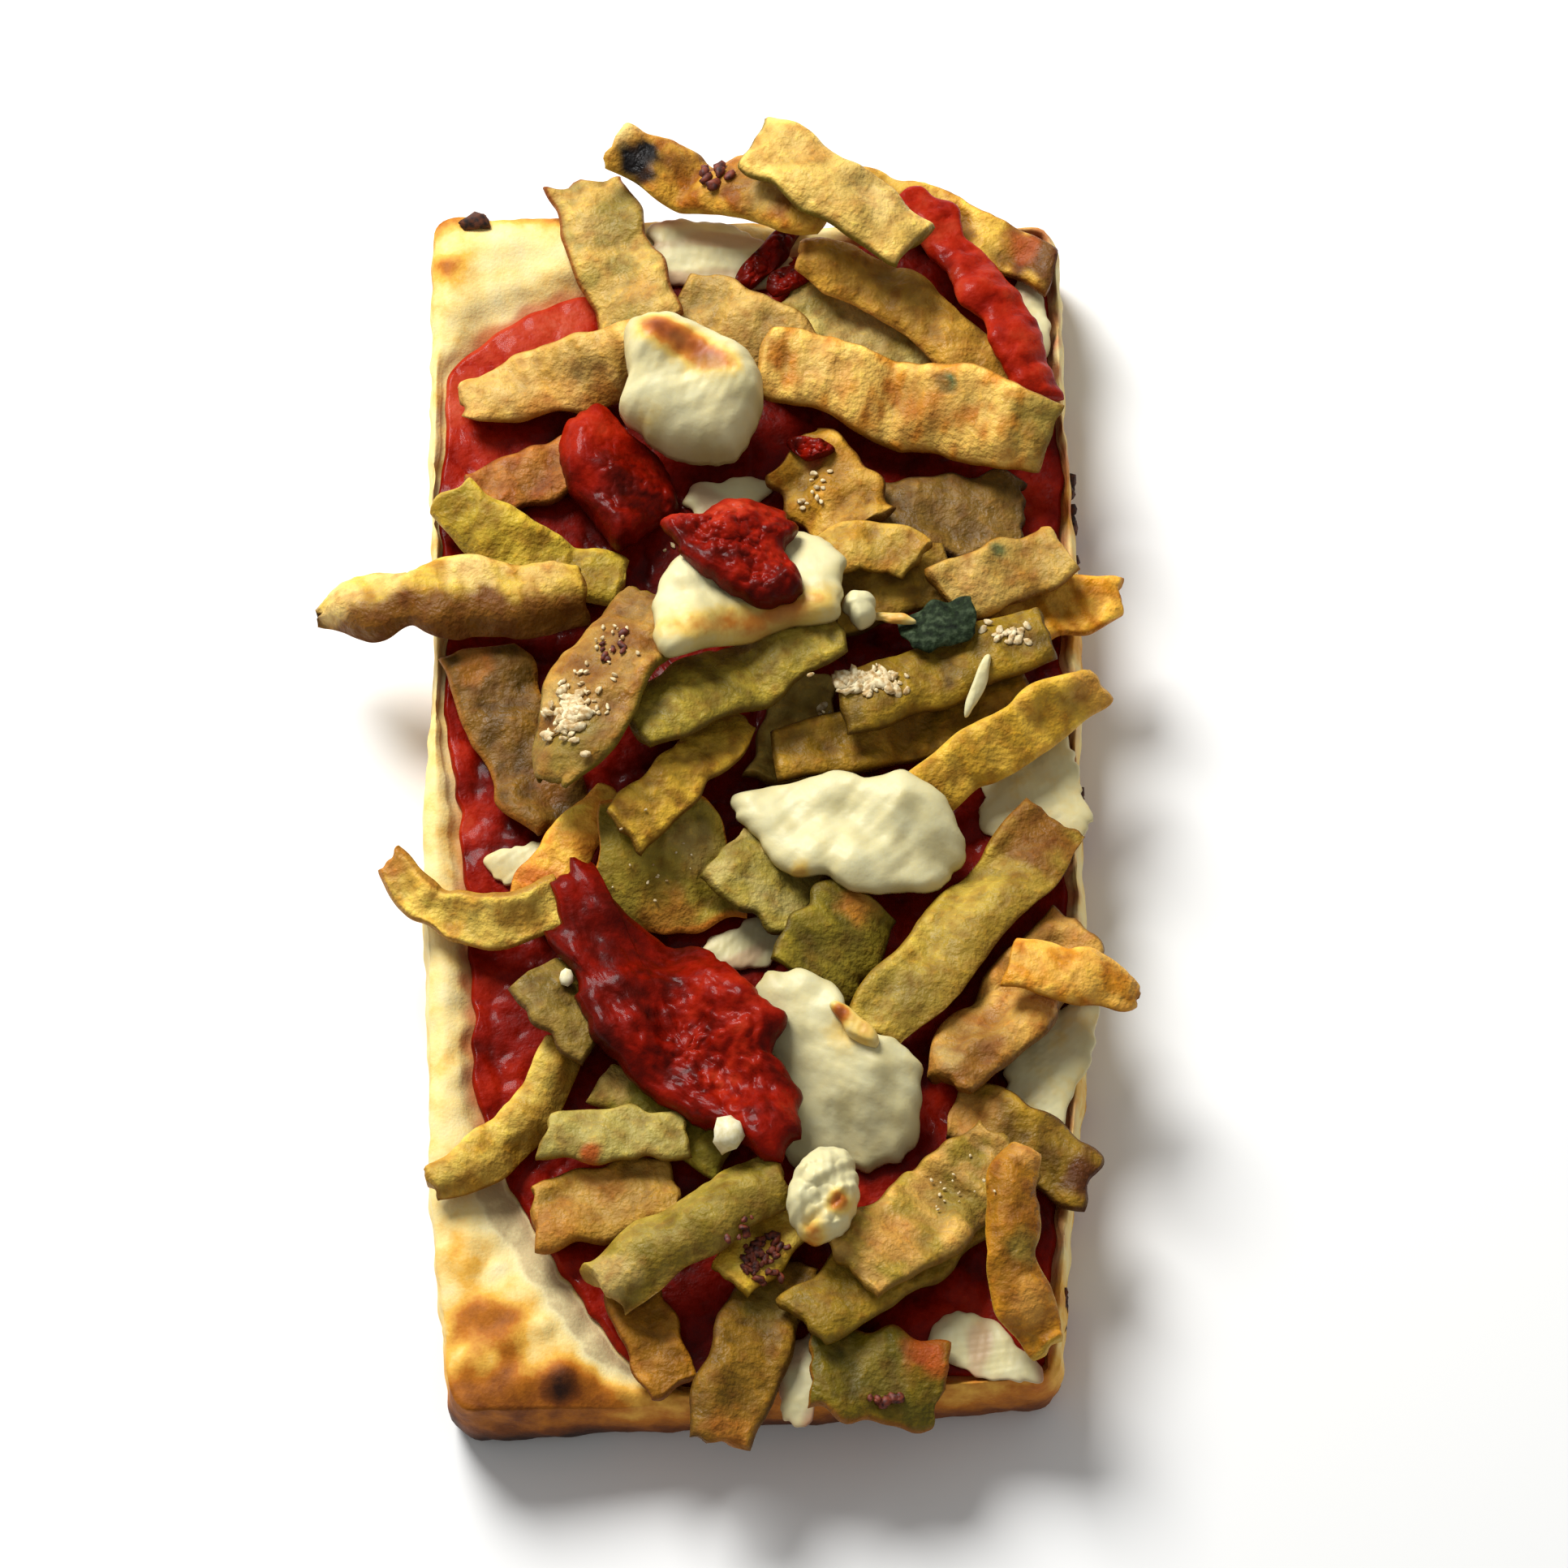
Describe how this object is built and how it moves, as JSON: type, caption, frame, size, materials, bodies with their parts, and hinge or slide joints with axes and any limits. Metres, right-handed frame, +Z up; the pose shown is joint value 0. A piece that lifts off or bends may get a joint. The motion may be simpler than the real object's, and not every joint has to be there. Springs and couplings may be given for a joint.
{
  "type": "pizza slice",
  "caption": "Rectangular slice of pan-baked pizza topped with tomato sauce, melted white cheese and a loose heap of fried aubergine strips, lying flat on its crust.",
  "frame": {"origin": "on the crust's flat underside, at the middle of the slice", "axes": "+Y along the slice's length, away from the end that shows its browned front; +Z up through the toppings; +X to the right"},
  "size_m": [0.1293, 0.2231, 0.0393],
  "materials": {
    "baked_dough": "matt baked dough, pale cream to golden brown, with browned blisters",
    "tomato_sauce": "wet deep red cooked tomato, slightly lumpy",
    "fried_aubergine": "tan to olive fried vegetable strips with a faint oily sheen and browned edges",
    "mozzarella": "creamy white melted cheese, smooth, browned in spots",
    "herb": "dark green dried leaf"
  },
  "bodies": {
    "root": {"cheese_browned": "mozzarella", "cheese_crumbly": "mozzarella", "cheese_front": "mozzarella", "cheese_middle": "mozzarella", "cheese_slab": "mozzarella", "crust": "baked_dough", "herb_leaf": "herb", "sauce_dollop_front": "tomato_sauce", "sauce_dollop_left": "tomato_sauce", "sauce_dollop_middle": "tomato_sauce", "sauce_smear": "tomato_sauce", "strip_01": "fried_aubergine", "strip_02": "fried_aubergine", "strip_03": "fried_aubergine", "strip_04": "fried_aubergine", "strip_05": "fried_aubergine", "strip_06": "fried_aubergine", "strip_07": "fried_aubergine", "strip_08": "fried_aubergine", "strip_09": "fried_aubergine", "strip_10": "fried_aubergine", "strip_11": "fried_aubergine", "strip_12": "fried_aubergine", "strip_13": "fried_aubergine", "strip_14": "fried_aubergine", "strip_15": "fried_aubergine", "strip_16": "fried_aubergine", "strip_17": "fried_aubergine", "strip_18": "fried_aubergine", "strip_19": "fried_aubergine", "strip_20": "fried_aubergine", "strip_21": "fried_aubergine", "strip_22": "fried_aubergine", "strip_23": "fried_aubergine", "strip_24": "fried_aubergine", "strip_25": "fried_aubergine", "strip_26": "fried_aubergine", "strip_27": "fried_aubergine", "strip_28": "fried_aubergine", "strip_29": "fried_aubergine", "strip_30": "fried_aubergine", "strip_31": "fried_aubergine", "strip_32": "fried_aubergine", "strip_33": "fried_aubergine", "strip_34": "fried_aubergine", "strip_35": "fried_aubergine", "strip_36": "fried_aubergine", "strip_37": "fried_aubergine", "strip_38": "fried_aubergine", "strip_39": "fried_aubergine", "strip_40": "fried_aubergine", "strip_41": "fried_aubergine", "strip_42": "fried_aubergine", "strip_43": "fried_aubergine", "strip_44": "fried_aubergine", "strip_45": "fried_aubergine", "strip_46": "fried_aubergine", "strip_47": "fried_aubergine", "strip_48": "fried_aubergine", "tomato_sauce": "tomato_sauce"}
  },
  "joints": []
}
